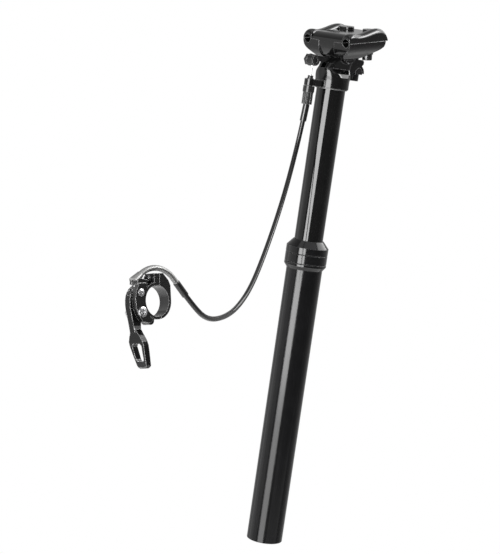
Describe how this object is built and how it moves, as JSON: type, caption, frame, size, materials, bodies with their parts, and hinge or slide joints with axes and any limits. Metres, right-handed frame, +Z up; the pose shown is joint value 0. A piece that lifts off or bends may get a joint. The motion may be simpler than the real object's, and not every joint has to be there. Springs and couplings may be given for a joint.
{
  "type": "dropper seatpost",
  "caption": "Telescoping bicycle seatpost with saddle clamps, head actuator, cable housing and a handlebar lever that releases it.",
  "frame": {"origin": "on the post's axis at the lower end of the outer tube", "axes": "+Z up the post's axis, +X to the bicycle's front, +Y to its left"},
  "size_m": [0.3191, 0.1427, 0.4594],
  "materials": {
    "tube_black": "satin black anodised",
    "stanchion_black": "polished dark grey anodised",
    "forging_black": "bead-blasted black anodised",
    "bolt_steel": "black oxide steel",
    "bright_steel": "bright steel",
    "clear_alloy": "machined",
    "seal_rubber": "matte",
    "bushing_polymer": "matte",
    "bearing_bronze": "satin",
    "adjuster_grey": "grey anodised",
    "housing_black": "satin black sheath",
    "lever_black": "satin black anodised"
  },
  "bodies": {
    "post_tube": {"outer_tube": "tube_black", "seal_collar": "tube_black", "upper_bushing": "bushing_polymer", "wiper_seal": "seal_rubber", "bottom_cap": "clear_alloy", "rod_bolt": "bright_steel", "piston_rod": "bright_steel", "piston": "clear_alloy", "piston_ring": "seal_rubber"},
    "slider": {"stanchion_tube": "stanchion_black", "lower_guide": "bushing_polymer", "guide_keys": "bearing_bronze", "rod_gland": "clear_alloy", "cartridge_tube": "clear_alloy", "valve_body": "clear_alloy", "head_plug": "clear_alloy", "trim_ring": "tube_black", "head_forging": "forging_black", "cross_pin": "bright_steel", "arm_pin": "bright_steel", "housing_ferrule": "bright_steel", "cable_housing": "housing_black", "noodle": "bright_steel", "noodle_ferrule": "bolt_steel", "remote_bracket": "lever_black", "remote_strap": "lever_black", "hinge_pin": "bright_steel", "bar_bolt": "bright_steel", "lever_bush": "bright_steel", "lever_bolt": "bright_steel", "lever_nut": "bolt_steel", "plate_screw": "bright_steel"},
    "saddle_clamp": {"lower_clamp": "forging_black", "rail_cap_left": "forging_black", "rail_cap_right": "forging_black", "clamp_bolts": "bolt_steel"},
    "tilt_screw": {"tilt_bolt": "bright_steel", "tilt_washer": "bright_steel"},
    "tilt_barrel": {"tilt_nut": "bright_steel"},
    "arm": {"actuator_arm": "forging_black", "anchor_bolt": "bright_steel", "anchor_nut": "bright_steel"},
    "wire": {"inner_wire": "bright_steel"},
    "valve": {"valve_pin": "bright_steel"},
    "oil_piston": {"floating_piston": "clear_alloy"},
    "adjuster": {"barrel_adjuster": "adjuster_grey"},
    "remote_lever": {"lever": "lever_black"},
    "nipple": {"wire_nipple": "bright_steel"}
  },
  "joints": [
    {"name": "dropper_slide", "type": "slide", "parent": "post_tube", "child": "slider", "axis": [0, 0, 1], "range_m": [-0.125, 0]},
    {"name": "saddle_tilt", "type": "hinge", "parent": "slider", "child": "saddle_clamp", "pos_m": [-0.005, 0, 0.436], "axis": [0, 1, 0], "range_deg": [-8, 8]},
    {"name": "tilt_screw_swivel", "type": "hinge", "parent": "slider", "child": "tilt_screw", "pos_m": [-0.0255, 0, 0.4193], "axis": [0, 1, 0], "range_deg": [-2.1, 2.1]},
    {"name": "tilt_barrel_slide", "type": "slide", "parent": "tilt_screw", "child": "tilt_barrel", "axis": [0, 0, 1], "range_m": [-0.0029, 0.0029]},
    {"name": "lever_press", "type": "hinge", "parent": "slider", "child": "remote_lever", "pos_m": [0.279, 0.09836, 0.23647], "axis": [0, 0.9641, 0.2656], "range_deg": [0, 24], "stiffness_Nm_per_rad": 0.3, "springref_deg": -17.19},
    {"name": "nipple_swivel", "type": "hinge", "parent": "remote_lever", "child": "nipple", "pos_m": [0.2824, 0.09488, 0.24909], "axis": [0, 0.9641, 0.2656], "range_deg": [-43, 0]},
    {"name": "arm_press", "type": "hinge", "parent": "slider", "child": "arm", "pos_m": [-0.008, 0, 0.4275], "axis": [0, 1, 0], "range_deg": [0, 10.1]},
    {"name": "wire_pull", "type": "slide", "parent": "slider", "child": "wire", "axis": [0, 0, -1], "range_m": [0, 0.0063]},
    {"name": "valve_push", "type": "slide", "parent": "slider", "child": "valve", "axis": [0, 0, -1], "range_m": [0, 0.00142]},
    {"name": "oil_piston_slide", "type": "slide", "parent": "slider", "child": "oil_piston", "axis": [0, 0, 1], "range_m": [0, 0.0176]},
    {"name": "adjuster_spin", "type": "hinge", "parent": "slider", "child": "adjuster", "pos_m": [0.0279, 0, 0.4], "axis": [0, 0, 1], "continuous": true}
  ],
  "couplings": [
    {"joint": "tilt_screw_swivel", "follows": "saddle_tilt", "ratio": 0.243},
    {"joint": "tilt_barrel_slide", "follows": "saddle_tilt", "m_per_rad": 0.0205},
    {"joint": "nipple_swivel", "follows": "lever_press", "ratio": -1.764},
    {"joint": "arm_press", "follows": "lever_press", "ratio": 0.41667},
    {"joint": "wire_pull", "follows": "lever_press", "m_per_rad": 0.014801},
    {"joint": "valve_push", "follows": "lever_press", "m_per_rad": 0.003342},
    {"joint": "oil_piston_slide", "follows": "dropper_slide", "ratio": -0.1394}
  ]
}
